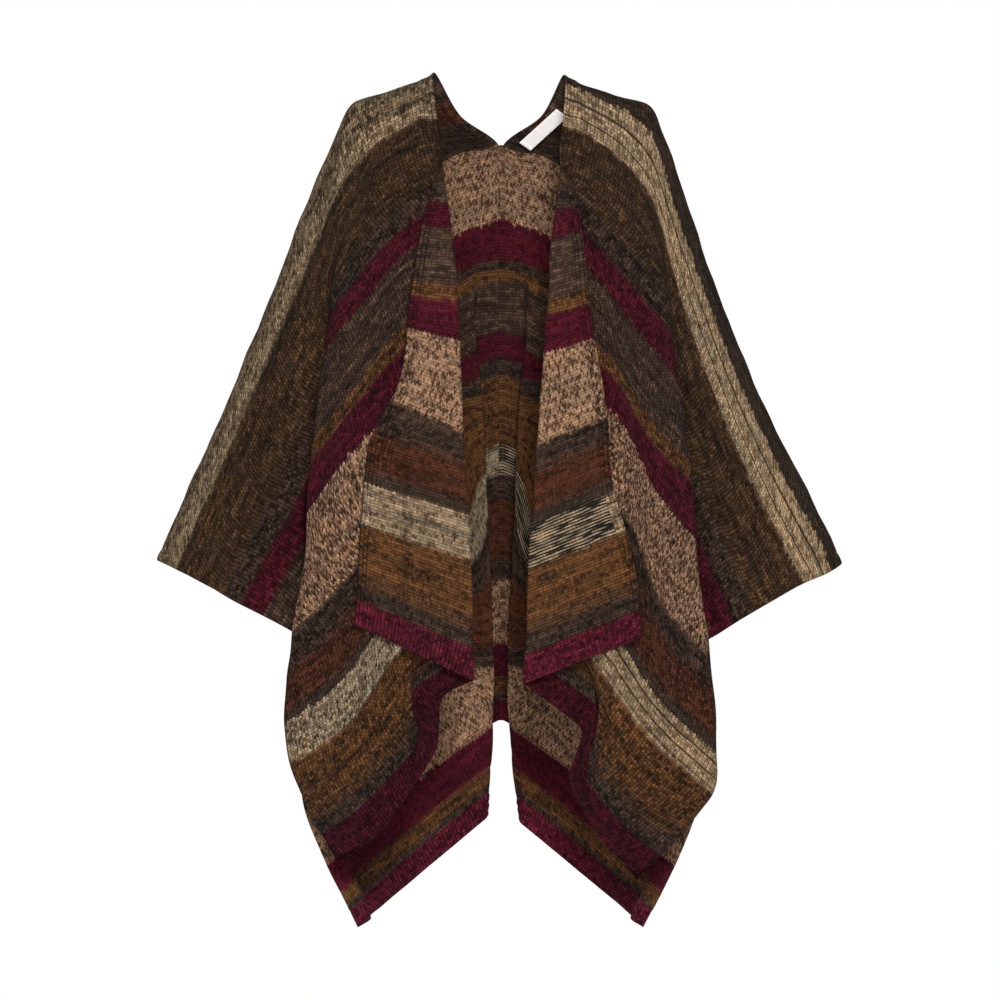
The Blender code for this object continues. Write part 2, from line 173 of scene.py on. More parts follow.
def smoothThrough(knots, values, where):
    # cubic pieces between knots; each inner slope is the mean of its two sides, weighted by the other side's length
    step = np.diff(knots)
    rise = np.diff(values) / step
    between = (rise[:-1] * step[1:] + rise[1:] * step[:-1]) / (step[:-1] + step[1:])
    slope = np.concatenate([rise[:1], between, rise[-1:]])
    piece = np.clip(np.searchsorted(knots, where) - 1, 0, len(step) - 1)
    t = (where - knots[piece]) / step[piece]
    start = values[piece] * (1 + 2 * t) * (1 - t) ** 2 + slope[piece] * step[piece] * t * (1 - t) ** 2
    end = values[piece + 1] * t * t * (3 - 2 * t) - slope[piece + 1] * step[piece] * t * t * (1 - t)
    return start + end


def lineRows(side, name):
    # a line's rows from the back hem to the front one, in metres
    foot = [pleatFoot[side]] if name == "edge" else []
    return np.array(sorted(frontLines[side][name] + bothBacks[name] + foot)) * 0.001


def hangingLines(side, along):
    # each line is a smooth run through its rows; beside the crest is a second one, a roll behind it where the cloth
    # rolls over, and elsewhere part of the way to the edge line
    lines = {}
    for name in bothBacks:
        rows = lineRows(side, name)
        across, down, depth = (smoothThrough(rows[:, 0], rows[:, column], along) for column in (1, 2, 3))
        lines[name] = np.stack([side * np.maximum(across, hanging["seamEdge"]), depth, -down], axis=-1)
    rolled = (smoothStep(along, *hanging["frontRoll"]) - smoothStep(-along, *hanging["pleatRoll"]))[:, None]
    flat = (1 - abs(rolled)) * hanging["flatRoll"] * (lines["edge"] - lines["crest"])
    lines["roll"] = lines["crest"] + rolled * (0, hanging["rollRadius"], 0) + flat
    lines["crest"] = lines["crest"] - rolled * (0, hanging["rollRadius"], 0)
    return [lines[name] for name in ("inner", *lineFolds)]


def towards(start, end, distance):
    # the point at a distance from start on the way to end, but no farther than the largest cut of the way
    way = end - start
    length = np.linalg.norm(way, axis=-1, keepdims=True)
    return start + way * np.minimum(distance / np.maximum(length, tiny), hanging["largestCut"])


def spanShares(name, steps, length):
    # even shares of a span; the first and the last also have shares at set distances from the edge of the cloth,
    # closer together where the span is short
    even = np.linspace(0, 1, steps + 1)
    closer = np.minimum(1, hanging["edgeShare"] * length / hanging["edgeLines"][-1])
    insets = [closer * distance / length for distance in hanging["edgeLines"]]
    if name == "crest":
        return [0 * length, *insets] + [insets[-1] + (1 - insets[-1]) * t for t in even[1:]]
    if name == "hem":
        turned = [1 - inset for inset in insets[::-1]]
        return [turned[0] * t for t in even[1:]] + turned[1:] + [1 + 0 * length]
    return list(even[1:])


def hangingCloth(side, along):
    # straight between the lines, and a quadratic curve round each fold: (1-t)^2 start + 2t(1-t) line + t^2 end
    lines = hangingLines(side, along)
    atFront = smoothStep(along, *hanging["backToFront"])[:, None]
    columns = []
    start = lines[0]
    for index, (name, (steps, foldSteps, front, back)) in enumerate(lineFolds.items(), start=1):
        line = lines[index]
        cut = front * atFront + back * (1 - atFront)
        end = towards(line, lines[index - 1], cut)
        length = np.linalg.norm(end - start, axis=-1, keepdims=True)
        columns += [start + (end - start) * t for t in spanShares(name, steps, length)]
        if foldSteps:
            start = towards(line, lines[index + 1], cut)
            columns += [(1 - t) ** 2 * end + 2 * t * (1 - t) * line + t * t * start
                        for t in np.linspace(0, 1, foldSteps + 1)[1:]]
    return np.stack(columns, axis=1)


def unit(vectors):
    # each vector divided by its length
    return vectors / np.maximum(np.linalg.norm(vectors, axis=-1, keepdims=True), tiny)


def outwardWay(side, points):
    # the way out is the cross product of the way along the cloth and the way across it
    steps = unit(np.diff(points, axis=1))
    acrossWay = np.concatenate([steps[:, :1], unit(steps[:, 1:] + steps[:, :-1]), steps[:, -1:]], axis=1)
    alongWay = np.gradient(points, axis=0)
    return side * unit(np.cross(alongWay, acrossWay))


def runAcross(points):
    # length of cloth from the inner edge to each point of its row
    steps = np.linalg.norm(np.diff(points, axis=1), axis=-1)
    return np.concatenate([np.zeros((len(points), 1)), np.cumsum(steps, axis=1)], axis=1)


softness = {"rise": 0.0009, "edgeRest": 0.020,
            "waves": ((71, 23, 0.4), (38, -57, 1.9), (-29, 88, 4.2), (104, 46, 2.7))}
# creases, in millimetres on the cloth: across and along at one end, the same at the other, width,
# and lift, which is less than nothing for a trough
creases = {
    -1: [
        (18, 470, 12, 545, 14, -7), (66, 500, 80, 727, 15, -13), (48, 505, 63, 727, 7, 8), (24, 560, 30, 727, 12, -3),
        (104, 470, 112, 640, 20, 2.5), (48, 380, 60, 500, 15, -2), (351, 500, 388, 640, 10, 6),
        (366, 505, 402, 630, 8, -5), (290, 600, 340, 727, 10, 6), (306, 610, 354, 727, 8, -6),
        (430, 540, 470, 690, 22, 4), (300, 300, 330, 470, 24, 4), (230, 160, 270, 330, 20, 3),
        (410, 330, 420, 520, 20, -4), (610, 60, 640, 280, 18, 3), (560, 160, 590, 330, 22, -3),
        (190, -40, 215, -260, 24, 3), (330, -60, 360, -330, 26, -4), (420, -90, 430, -420, 20, 4),
        (430, -15, 540, -15, 90, -4), (470, -380, 480, -700, 24, -4), (250, -300, 245, -640, 22, 4),
        (300, -480, 330, -840, 18, -3), (540, -180, 600, -420, 22, 4), (600, -60, 640, -240, 20, -3),
        (500, -560, 540, -860, 20, 3)],
    1: [
        (56, 440, 62, 732, 14, -6), (38, 450, 44, 732, 9, 7), (88, 560, 92, 732, 16, 3), (96, 520, 104, 700, 18, 2.5),
        (66, 350, 58, 470, 16, -2), (301, 545, 366, 732, 10, 6), (318, 555, 382, 732, 8, -6),
        (380, 480, 424, 640, 20, 3.5), (440, 560, 470, 700, 20, -3), (310, 260, 345, 440, 22, 4),
        (240, 180, 262, 300, 18, 3), (420, 300, 436, 500, 22, -4), (600, 80, 628, 300, 20, 3),
        (556, 130, 580, 290, 18, -3), (200, -50, 210, -240, 22, 3), (320, -90, 346, -300, 22, -3),
        (430, -70, 446, -380, 22, 4), (470, -15, 570, -15, 90, -8), (460, -420, 486, -740, 22, -4),
        (246, -340, 256, -600, 20, 4), (310, -520, 322, -820, 20, -3), (530, -200, 590, -460, 24, 4),
        (610, -70, 650, -210, 18, -3), (520, -540, 536, -850, 22, 3)],
}


def creaseLift(side, across, along):
    # each crease lifts by exp(-(d / width)^2), d being the distance from its line; the waves are plain sines
    lift = np.zeros_like(across)
    for row in creases[side]:
        startAcross, startAlong, endAcross, endAlong, width, height = (number * 0.001 for number in row)
        wayAcross, wayAlong = endAcross - startAcross, endAlong - startAlong
        t = ((across - startAcross) * wayAcross + (along - startAlong) * wayAlong) / (wayAcross ** 2 + wayAlong ** 2)
        t = np.clip(t, 0, 1)
        distance = np.hypot(across - startAcross - t * wayAcross, along - startAlong - t * wayAlong)
        lift += height * np.exp(-(distance / width) ** 2)
    for acrossTurns, alongTurns, phase in softness["waves"]:
        lift += softness["rise"] / 2 * np.sin(acrossTurns * across + alongTurns * along + phase * side)
    return lift * smoothStep(across, 0.0, softness["edgeRest"])


def frontCurl(across, along):
    # the free edge curls to the wrong side as a low arch, sin(pi u / width)
    height, width = hanging["curl"]
    free = smoothStep(along, hanging["neckPoint"], hanging["neckPoint"] + hanging["curlFade"])
    return height * free * np.sin(np.pi * np.clip(across / width, 0, 1))


def courseSag(across, along):
    # the courses hang on the bias in the pleat, by the sum of depth * exp(-((u - middle) / width)^2), and this
    # fades out above and below
    topStart, topEnd, footStart, footEnd = hanging["sagFade"]
    fade = smoothStep(-along, topStart, topEnd) * (1 - smoothStep(-along, footStart, footEnd))
    return fade * sum(depth * np.exp(-((across - middle) / width) ** 2) for depth, middle, width in hanging["sags"])


def courseDrift(side, across, along):
    # on the right panel the courses slant a little to the shoulder line, by a smooth run through set places,
    # and this fades out on the body
    if side < 0:
        return np.zeros_like(across)
    knots, values = (np.array(numbers) for numbers in hanging["drift"])
    fade = 1 - smoothStep(np.abs(along), *hanging["driftFade"])
    return -fade * smoothThrough(knots, values, np.minimum(across, knots[-1]))


def shapedCloth(side, along):
    # the hanging cloth moved along its own way out; its u and v are the lengths across and along the cloth
    flat = hangingCloth(side, along)
    across = runAcross(flat)
    lengthwise = np.broadcast_to(along[:, None], across.shape)
    lift = creaseLift(side, across, lengthwise) - frontCurl(across, lengthwise)
    points = flat + outwardWay(side, flat) * lift[..., None]
    shift = courseSag(across, lengthwise) + courseDrift(side, across, lengthwise)
    clothUv = np.stack([across, lengthwise + shift], axis=-1)
    return points, outwardWay(side, points), clothUv


def stretches(side):
    # where the ribs and the panel start and end along the cloth, with half a gap on each side of a join
    backHem, frontHem = lineRows(side, "inner")[[0, -1], 0]
    half = hanging["gap"] / 2
    backSeam, frontSeam = backHem + hanging["backRib"], frontHem - hanging["frontRib"]
    return {"backRib": (backHem, backSeam - half), "panel": (backSeam + half, frontSeam - half),
            "frontRib": (frontSeam + half, frontHem)}


def turnedStrip(side, along):
    # how far the left panel's rolled edge shows its right side: a set width times a smooth rise and fall
    width, rise, fall = hanging["turned"]
    return (side < 0) * width * smoothStep(along, *rise) * (1 - smoothStep(along, *fall))


# how far the edges of a shell stand out, and how much its ends close, as shares of half its wall
shellLook = {"edgeRound": 0.8, "endClose": 0.35}


def shellFaces(rows, columns, side):
    # four-sided faces from each ring to the next, then both ends closed from face to face across the wall
    around = 2 * columns + 2
    ring, rowStart = np.arange(around), np.arange(rows - 1)[:, None] * around
    a, b = (rowStart + ring).ravel(), (rowStart + (ring + 1) % around).ravel()
    near = np.arange(columns - 1)
    far = 2 * columns - near
    caps = np.concatenate([
        np.stack([near, far, far - 1, near + 1], axis=1),
        [[columns - 1, columns + 1, columns, columns], [0, around - 1, 2 * columns, 2 * columns]],
    ])
    ends = [list(dict.fromkeys(corners)) for corners in caps.tolist()]
    ends += [[corner + (rows - 1) * around for corner in face[::-1]] for face in ends]
    faces = np.stack([a, b, b + around, a + around], axis=1).tolist() + ends
    return [face[::-1] for face in faces] if side > 0 else faces


def makeShell(name, outer, inner, clothUv, side, materials, edgeColumns=0):
    # a ring for each row: outer face, a rounded edge, inner face, a rounded edge; the ends are rounded the same way
    rows, columns = outer.shape[:2]
    middle = (outer + inner) / 2
    half = np.linalg.norm(outer - inner, axis=-1, keepdims=True) / 2
    startEdge, endEdge = (
        (middle[:, at] + unit(middle[:, at] - middle[:, beside]) * half[:, at] * shellLook["edgeRound"])[:, None]
        for at, beside in ((0, 1), (-1, -2)))
    rings = np.concatenate([outer, endEdge, inner[:, ::-1], startEdge], axis=1)
    uvRings, ringMiddle = (np.concatenate([values, values[:, -1:], values[:, ::-1], values[:, :1]], axis=1)
                           for values in (clothUv, middle))

    def endRing(row, nextRow):
        push = unit(ringMiddle[row] - ringMiddle[nextRow]) * half[row].mean() * shellLook["edgeRound"]
        return (ringMiddle[row] + (rings[row] - ringMiddle[row]) * shellLook["endClose"] + push)[None]

    rings = np.concatenate([endRing(0, 1), rings, endRing(-1, -2)], axis=0)
    uvRings = np.concatenate([uvRings[:1], uvRings, uvRings[-1:]], axis=0)
    ring = np.arange(rings.shape[1])
    wrongFace = (ring > columns) & (ring < ring[-1])
    # the right side also shows on a strip along the free edge, where the cloth rolls over
    along = uvRings[:-1, :1, 1]
    strip = (ring >= ring[-1] - edgeColumns) | (uvRings[:-1, :, 0] < turnedStrip(side, along))
    strip = strip & (along > hanging["neckPoint"]) & (edgeColumns > 0)
    faces = shellFaces(rows + 2, columns, side)
    slots = np.zeros(len(faces), np.int32)
    slots[:(rows + 1) * len(ring)] = (wrongFace & ~strip).ravel()
    mesh = bpy.data.meshes.new(name)
    mesh.from_pydata(rings.reshape(-1, 3), [], faces)
    for material in materials:
        mesh.materials.append(material)
    mesh.polygons.foreach_set("material_index", slots)
    mesh.polygons.foreach_set("use_smooth", np.ones(len(slots), bool))
    layer = mesh.uv_layers.new(name="cloth")
    corners = np.zeros(len(mesh.loops), np.int32)
    mesh.loops.foreach_get("vertex_index", corners)
    shift = (hanging["patternShift"] * (side > 0), 0)
    layer.data.foreach_set("uv", (uvRings.reshape(-1, 2)[corners] + shift).astype(np.float32).ravel())
    mesh.update()
    mesh.validate()
    piece = bpy.data.objects.new(name, mesh)
    bpy.context.scene.collection.objects.link(piece)
    return piece


def newGroup(name, inputs, outputs):
    # inputs and outputs are lists of names under each kind of socket
    group = bpy.data.node_groups.new(name, "ShaderNodeTree")
    for way, sockets in (("INPUT", inputs), ("OUTPUT", outputs)):
        for kind, labels in sockets.items():
            for label in labels:
                group.interface.new_socket(name=label, in_out=way, socket_type="NodeSocket" + kind)
    return group, group.nodes.new("NodeGroupInput"), group.nodes.new("NodeGroupOutput")


def fill(tree, node, values):
    # each input, by its name or place, is linked from a socket or given a value
    for key, value in values.items():
        if isinstance(value, bpy.types.NodeSocket):
            tree.links.new(value, node.inputs[key])
        else:
            node.inputs[key].default_value = value
    return node


def mathNode(tree, operation, *values, clamp=False):
    node = tree.nodes.new("ShaderNodeMath")
    node.operation = operation
    node.use_clamp = clamp
    return fill(tree, node, dict(enumerate(values))).outputs[0]


def aboutHalf(tree, value, strength, middle):
    # how far the value is from a half, times the strength, on top of the middle
    return mathNode(tree, "MULTIPLY_ADD", mathNode(tree, "SUBTRACT", value, 0.5), strength, middle)


def vectorNode(tree, operation, *values):
    node = tree.nodes.new("ShaderNodeVectorMath")
    node.operation = operation
    return fill(tree, node, dict(enumerate(values))).outputs


def combine(tree, x, y, z):
    return fill(tree, tree.nodes.new("ShaderNodeCombineXYZ"), {0: x, 1: y, 2: z}).outputs[0]


def splitUp(tree, vector):
    return fill(tree, tree.nodes.new("ShaderNodeSeparateXYZ"), {0: vector}).outputs


def noise(tree, vector, scale, detail=2.0, roughness=0.5):
    values = {"Vector": vector, "Scale": scale, "Detail": detail, "Roughness": roughness}
    return fill(tree, tree.nodes.new("ShaderNodeTexNoise"), values).outputs["Fac"]


def mixColours(tree, share, first, second, blend="MIX"):
    node = tree.nodes.new("ShaderNodeMix")
    node.data_type = "RGBA"
    node.blend_type = blend
    return fill(tree, node, {0: share, 6: first, 7: second}).outputs[2]


def mixNumbers(tree, share, first, second):
    return fill(tree, tree.nodes.new("ShaderNodeMix"), {0: share, 2: first, 3: second}).outputs[0]


def bumpOf(tree, height, finish):
    return fill(tree, tree.nodes.new("ShaderNodeBump"), {"Height": height, **finish}).outputs["Normal"]


def linear(*channels):
    # a colour written as 0 to 255 as it looks, turned to the light it reflects
    return tuple((c / 255 / 12.92) if c / 255 <= 0.04045 else ((c / 255 + 0.055) / 1.055) ** 2.4 for c in channels)


def reflected(depth, colour):
    # the light from a yarn of this colour, times the depth set for its side of the knit,
    # which on the ribs' outer face also holds painted shade
    return tuple(depth * c for c in linear(*colour))


knitLook = {"wale": 0.0052, "course": 0.0039, "slant": 0.55, "wander": 0.0028, "wanderSize": 45.0,
            "legShare": 0.45, "plainRelief": (0.95, 0.20), "arch": 0.1, "purlRelief": (0.28, 0.28, 0.27),
            "strokeWidth": 0.0026, "strokeLean": 0.9, "strokeLength": 0.65, "runLength": 190.0, "lineLength": 38.0,
            "strokeStep": 3.71, "runStep": 7.31, "lineStep": 5.17, "streakAcross": 7.0, "streakRows": 0.42,
            "fuzzSize": 950.0, "fuzzRoughness": 0.65, "mingle": 0.9, "purlCalm": 0.58,
            "layers": {"stroke": 0.0, "run": 3.0, "line": 9.0, "streak": 7.0, "stitch": 5.0}}
stitchLabels = ("Stroke", "Run", "Line", "Streak", "Stitch", "Height", "Rows", "Fuzz")


def makeStitchGroup():
    # plain side: |sin(pi x)| across a wale and |sin(2 pi x)| across its two leaning legs; purl side: arched rows;
    # the stroke changes slowly along a wale, run and line along a course, the streak over several courses
    labels = (*stitchLabels, "Stitch Along", "Along")
    group, start, end = newGroup(
        "knitStitches", {"Vector": ["Cloth"], "Float": ["Wale", "Course", "Purl"]}, {"Float": labels})
    cloth, wale, course, purl = (start.outputs[i] for i in range(4))
    layers = knitLook["layers"]

    def m(operation, *values):
        return mathNode(group, operation, *values)

    def humps(value):
        return m("ABSOLUTE", m("SINE", m("MULTIPLY", value, math.pi)))

    def noiseAt(x, y, layer, detail=1.0):
        return noise(group, combine(group, x, y, layers[layer]), 1.0, detail)

    def leaning(places, slant):
        # the number of each place, and the courses tilted one way and the other across them in turn
        number = m("FLOOR", places)
        tilt = m("MULTIPLY_ADD", m("FLOORED_MODULO", number, 2.0), -2 * slant, slant)
        return number, m("MULTIPLY_ADD", tilt, m("SUBTRACT", m("SUBTRACT", places, number), 0.5), courses)

    flat = splitUp(group, cloth)
    wander = aboutHalf(group, noise(group, cloth, knitLook["wanderSize"]), knitLook["wander"], 0.0)
    across, along = m("ADD", flat[0], wander), m("ADD", flat[1], wander)
    wales, courses = m("DIVIDE", across, wale), m("DIVIDE", along, course)
    halfWales = m("MULTIPLY", wales, 2.0)
    _, stitchRows = leaning(halfWales, knitLook["slant"])
    row = m("FLOOR", stitchRows)
    waleBulge = humps(wales)
    plain = m("MULTIPLY", mixNumbers(group, knitLook["legShare"], waleBulge, humps(halfWales)),
              m("MULTIPLY_ADD", humps(stitchRows), *knitLook["plainRelief"]))
    arch = m("MULTIPLY_ADD", m("COSINE", m("MULTIPLY", wales, 2 * math.pi)), knitLook["arch"], courses)
    bulgeRise, rowRise, floorRise = knitLook["purlRelief"]
    rows = m("MULTIPLY_ADD", humps(arch), m("MULTIPLY_ADD", waleBulge, bulgeRise, rowRise), floorRise)
    height = mixNumbers(group, purl, plain, rows)
    strokeNumber, strokeAlong = leaning(m("DIVIDE", across, knitLook["strokeWidth"]), knitLook["strokeLean"])
    stroke = noiseAt(m("MULTIPLY", strokeNumber, knitLook["strokeStep"]),
                     m("MULTIPLY", strokeAlong, knitLook["strokeLength"]), "stroke")
    run, line = (noiseAt(m("MULTIPLY", across, knitLook[name + "Length"]),
                         m("MULTIPLY", row, knitLook[name + "Step"]), name) for name in ("run", "line"))
    streak = noiseAt(m("MULTIPLY", across, knitLook["streakAcross"]),
                     m("MULTIPLY", courses, knitLook["streakRows"]), "streak", 2.0)
    chanceNode = group.nodes.new("ShaderNodeTexWhiteNoise")
    chanceNode.noise_dimensions = "3D"
    stitchPlace = combine(group, m("FLOOR", wales), row, layers["stitch"])
    chance = fill(group, chanceNode, {"Vector": stitchPlace}).outputs["Value"]
    fuzz = noise(group, cloth, knitLook["fuzzSize"], 3.0, knitLook["fuzzRoughness"])
    stitch = aboutHalf(group, chance, m("MULTIPLY_ADD", purl, -knitLook["purlCalm"], 1.0), 0.5)
    stitchAlong = m("MULTIPLY", m("ADD", row, aboutHalf(group, stitch, knitLook["mingle"], 0.5)), course)
    values = (stroke, run, line, streak, stitch, height, humps(courses), fuzz, stitchAlong, along)
    fill(group, end, dict(zip(labels, values)))
    return group


# yarn: main colour, fleck colour, share of flecks, how much that share changes from course to course,
# whether the flecks run across the courses (0) or lengthwise (1), and whether they are lines on the purls (1)
yarns = {
    "gold": ((154, 131, 101), (78, 63, 48), 0.42, 0.40, 0.5, 0.0),
    "goldPlain": ((200, 170, 132), (136, 110, 82), 0.40, 0.20, 0.6, 0.0),
    "goldSoft": ((172, 147, 115), (92, 75, 57), 0.38, 0.30, 0.4, 0.0),
    "brown": ((62, 44, 31), (96, 71, 49), 0.38, 0.80, 0.1, 0.0),
    "grey": ((78, 60, 49), (40, 31, 27), 0.44, 0.40, 0.2, 0.0),
    "greyLines": ((66, 49, 41), (98, 77, 61), 0.28, 0.85, 0.0, 0.0),
    "greyRust": ((86, 58, 44), (46, 33, 28), 0.40, 0.35, 0.2, 0.0),
    "charcoal": ((64, 52, 43), (92, 72, 54), 0.30, 0.30, 0.2, 0.0),
    "burgundy": ((90, 26, 40), (52, 17, 25), 0.36, 0.20, 0.5, 0.0),
    "ochre": ((111, 73, 41), (58, 41, 29), 0.36, 0.60, 0.1, 0.0),
    "ochreGrey": ((96, 66, 43), (52, 39, 30), 0.38, 0.35, 0.1, 0.0),
    "pinkMarl": ((190, 147, 114), (78, 58, 45), 0.50, 0.10, 1.0, 0.0),
    "pinkPurl": ((186, 144, 111), (82, 61, 48), 0.48, 0.20, 0.8, 0.0),
    "beigeMarl": ((182, 148, 116), (80, 62, 50), 0.40, 0.10, 1.0, 0.0),
    "rust": ((94, 53, 35), (54, 35, 26), 0.38, 0.35, 0.2, 0.0),
    "cream": ((184, 158, 127), (84, 70, 56), 0.42, 0.30, 0.6, 0.0),
    "creamPlain": ((164, 139, 110), (84, 69, 54), 0.36, 0.40, 0.3, 0.0),
    "creamBack": ((160, 139, 111), (78, 66, 52), 0.40, 0.40, 0.3, 0.0),
    "beige": ((178, 150, 116), (126, 102, 76), 0.30, 0.15, 0.6, 0.0),
    "creamLines": ((40, 38, 33), (160, 139, 112), 0.26, 0.90, 0.2, 1.0),
}
# stripes: where each starts along the cloth, in millimetres from the shoulder line, and its yarn
shoulderBands = [(147, "grey"), (172, "burgundy"), (204, "greyLines"), (278, "ochre"), (300, "burgundy")]
waistBands = [(468, "greyRust"), (478, "rust"), (522, "greyRust"), (530, "charcoal")]


def backBands(linesFrom, lightYarn):
    # both backs have the same bands but for where the first lines start and the yarn of the light band
    return [(0, "charcoal"), (linesFrom, "greyLines"), (50, "rust"), (78, "grey"), (133, "pinkMarl"),
            (234, "burgundy"), (281, "grey"), (292, "ochre"), (306, "greyLines"), (374, "burgundy"), (406, "grey"),
            (429, "ochre"), (516, lightYarn), (558, "grey"), (592, "rust"), (670, "grey"), (696, "pinkMarl"),
            (780, "burgundy"), (822, "ochre"), (841, "grey"), (852, "burgundy")]


sideStripes = {
    -1: {"front": [(0, "gold"), (42, "goldSoft"), (61, "brown"), *shoulderBands, (341, "beigeMarl"),
                   (346, "pinkMarl"), (436, "grey"), *waistBands, (541, "cream"), (595, "ochre"),
                   (660, "ochreGrey"), (672, "grey"), (694, "burgundy")],
         "back": backBands(26, "creamBack")},
    1: {"front": [(0, "charcoal"), (28, "goldPlain"), (82, "brown"), *shoulderBands, (343, "pinkMarl"),
                  (442, "grey"), *waistBands, (541, "beige"), (597, "ochre"), (660, "ochreGrey"), (674, "grey"),
                  (698, "burgundy")],
        "back": backBands(30, "beige")},
}
darkWool = (26, 22, 19)
# single courses of it on the right panel's right side: middle, half thickness and strength
darkCourses = [(49.0, 1.1, 0.9), (66.5, 0.9, 0.75), (555.7, 1.2, 0.9), (574.9, 1.1, 0.85), (590.6, 1.0, 0.6)]
# the same yarns look otherwise on the purl side, where the thinner lines come through
wrongSideYarn = {"cream": "creamPlain", "pinkMarl": "pinkPurl", "beige": "creamLines", "gold": "creamLines"}

# two of these numbers paint shade into the colour by the stitch height, darkest in the hollows between stitches
marlLook = {"stretch": 2.8, "softEdge": 1.8, "hardEdge": 2.4, "lineEdge": 3.0, "hollow": 0.20, "paintedReliefShade": 1.55,
            "grain": 0.9, "streak": 1.9, "stitch": 0.95, "runShare": 0.75, "plainSide": 0.41, "purlSide": 0.46,
            "ribPaintedShadeDepth": 0.30, "ribWrong": 0.66, "blend": 0.0012, "lineTint": 0.2, "streakTint": 0.35, "even": 0.45,
            "streakCalm": 0.6}


def rampOf(group, along, steps):
    # a ramp that changes at once at each step
    ramp = group.nodes.new("ShaderNodeValToRGB")
    ramp.color_ramp.interpolation = "CONSTANT"
    elements = ramp.color_ramp.elements
    elements.remove(elements[-1])
    for index, (start, colour) in enumerate(steps):
        element = elements[0] if index == 0 else elements.new(start / 1000)
        element.position = start / 1000
        element.color = colour
    return fill(group, ramp, {"Fac": along}).outputs


def makeStripeGroup(name, stripes, wrongSide):
    # each number of a yarn is looked up on a ramp with a step at each stripe, one ramp in front and one behind;
    # the smooth side reflects less than the purl side
    group, start, end = newGroup(
        name, {"Float": ["Along"]}, {"Color": ["Main", "Fleck", "Lines"], "Float": ["Share", "Change", "Lengthwise"]})
    along = start.outputs["Along"]
    depth = marlLook["purlSide" if wrongSide else "plainSide"]
    behind = mathNode(group, "LESS_THAN", along, 0.0)
    places = {"front": along, "back": mathNode(group, "MULTIPLY", along, -1.0)}

    def yarnOf(yarnName):
        return yarns[wrongSideYarn.get(yarnName, yarnName) if wrongSide else yarnName]

    for colour, number, pick in (
            ("Main", "Change", lambda yarn: (*reflected(depth, yarn[0]), yarn[3])),
            ("Fleck", "Share", lambda yarn: (*reflected(depth, yarn[1]), yarn[2])),
            ("Lines", "Lengthwise", lambda yarn: (yarn[5], yarn[5], yarn[5], yarn[4]))):
        front, back = (
            rampOf(group, places[part], [(place, pick(yarnOf(yarnName))) for place, yarnName in stripes[part]])
            for part in ("front", "back"))
        fill(group, end, {colour: mixColours(group, behind, front[0], back[0]),
                          number: mixNumbers(group, behind, front[1], back[1])})
    return group


def makeMarlGroup():
    # the fleck yarn shows where its noise falls below the share, or for lines on top of the rows of purls;
    # each stitch has its own depth of colour, the hollows get painted shade, and streaks drift over the bands
    labels = ("Share", "Change", "Lengthwise", "Lines", *stitchLabels)
    group, start, end = newGroup("marl", {"Color": ["Main", "Fleck"], "Float": labels}, {"Color": ["Colour"]})
    main, fleck, share, change, lengthwise, lines, stroke, run, line, streak, stitch, height, rows, fuzz = (
        start.outputs[i] for i in range(14))

    def m(operation, *values):
        return mathNode(group, operation, *values)

    def about(value, strength, middle):
        return aboutHalf(group, value, strength, middle)

    level = about(line, m("MULTIPLY", change, marlLook["stretch"]), share)
    crosswise = m("ADD", m("MULTIPLY", about(run, marlLook["stretch"], 0.5), marlLook["runShare"]),
                  m("MULTIPLY", stitch, 1 - marlLook["runShare"]))
    chance = mixNumbers(group, lengthwise, crosswise, about(stroke, marlLook["stretch"], 0.5))
    chance = mixNumbers(group, lines, chance, m("SUBTRACT", 1.0, rows))
    edge = m("MULTIPLY_ADD", lengthwise, marlLook["hardEdge"] - marlLook["softEdge"], marlLook["softEdge"])
    edge = mixNumbers(group, lines, edge, marlLook["lineEdge"])
    mask = mathNode(group, "MULTIPLY_ADD", m("SUBTRACT", level, chance), edge, 0.5, clamp=True)
    colour = mixColours(group, mask, main, fleck)
    # painted shade: darker in the hollows between stitches and lighter on their bulges, by the stitch height
    hollow = m("MULTIPLY_ADD", height, marlLook["paintedReliefShade"], marlLook["hollow"])
    hollow = mixNumbers(group, m("MULTIPLY", lengthwise, marlLook["even"]), hollow, 1.0)
    streaky = m("MULTIPLY_ADD", lengthwise, -marlLook["streakCalm"] * marlLook["streak"], marlLook["streak"])
    # the painted shade is then varied by random tone from the fuzz, the streaks and each stitch
    shade = hollow
    for value, strength in ((fuzz, marlLook["grain"]), (streak, streaky), (stitch, marlLook["stitch"])):
        shade = m("MULTIPLY", shade, about(value, strength, 1.0))
    # red grows and blue falls by the same share of the line and streak noise
    tint = m("ADD", about(line, marlLook["lineTint"], 0.0), about(streak, marlLook["streakTint"], 0.0))
    warm, cool = m("MULTIPLY_ADD", shade, tint, shade), m("SUBTRACT", shade, m("MULTIPLY", shade, tint))
    fill(group, end, {0: mixColours(group, 1.0, colour, combine(group, warm, shade, cool), "MULTIPLY")})
    return group


stitchGroup = makeStitchGroup()
marlGroup = makeMarlGroup()


def newMaterial(name):
    material = bpy.data.materials.new(name)
    material.use_nodes = True
    tree = material.node_tree
    return material, tree, tree.nodes["Principled BSDF"]


def useGroup(tree, group, values):
    node = tree.nodes.new("ShaderNodeGroup")
    node.node_tree = group
    return fill(tree, node, values)


def clothVector(tree):
    node = tree.nodes.new("ShaderNodeUVMap")
    node.uv_map = "cloth"
    return node.outputs["UV"]


woolLook = {
    "finish": {"Roughness": 0.95, "Specular IOR Level": 0.05, "Sheen Weight": 0.012, "Sheen Roughness": 0.5},
    "bump": {"Strength": 0.8, "Distance": 0.0016},
    "fuzzBump": 0.5,
}


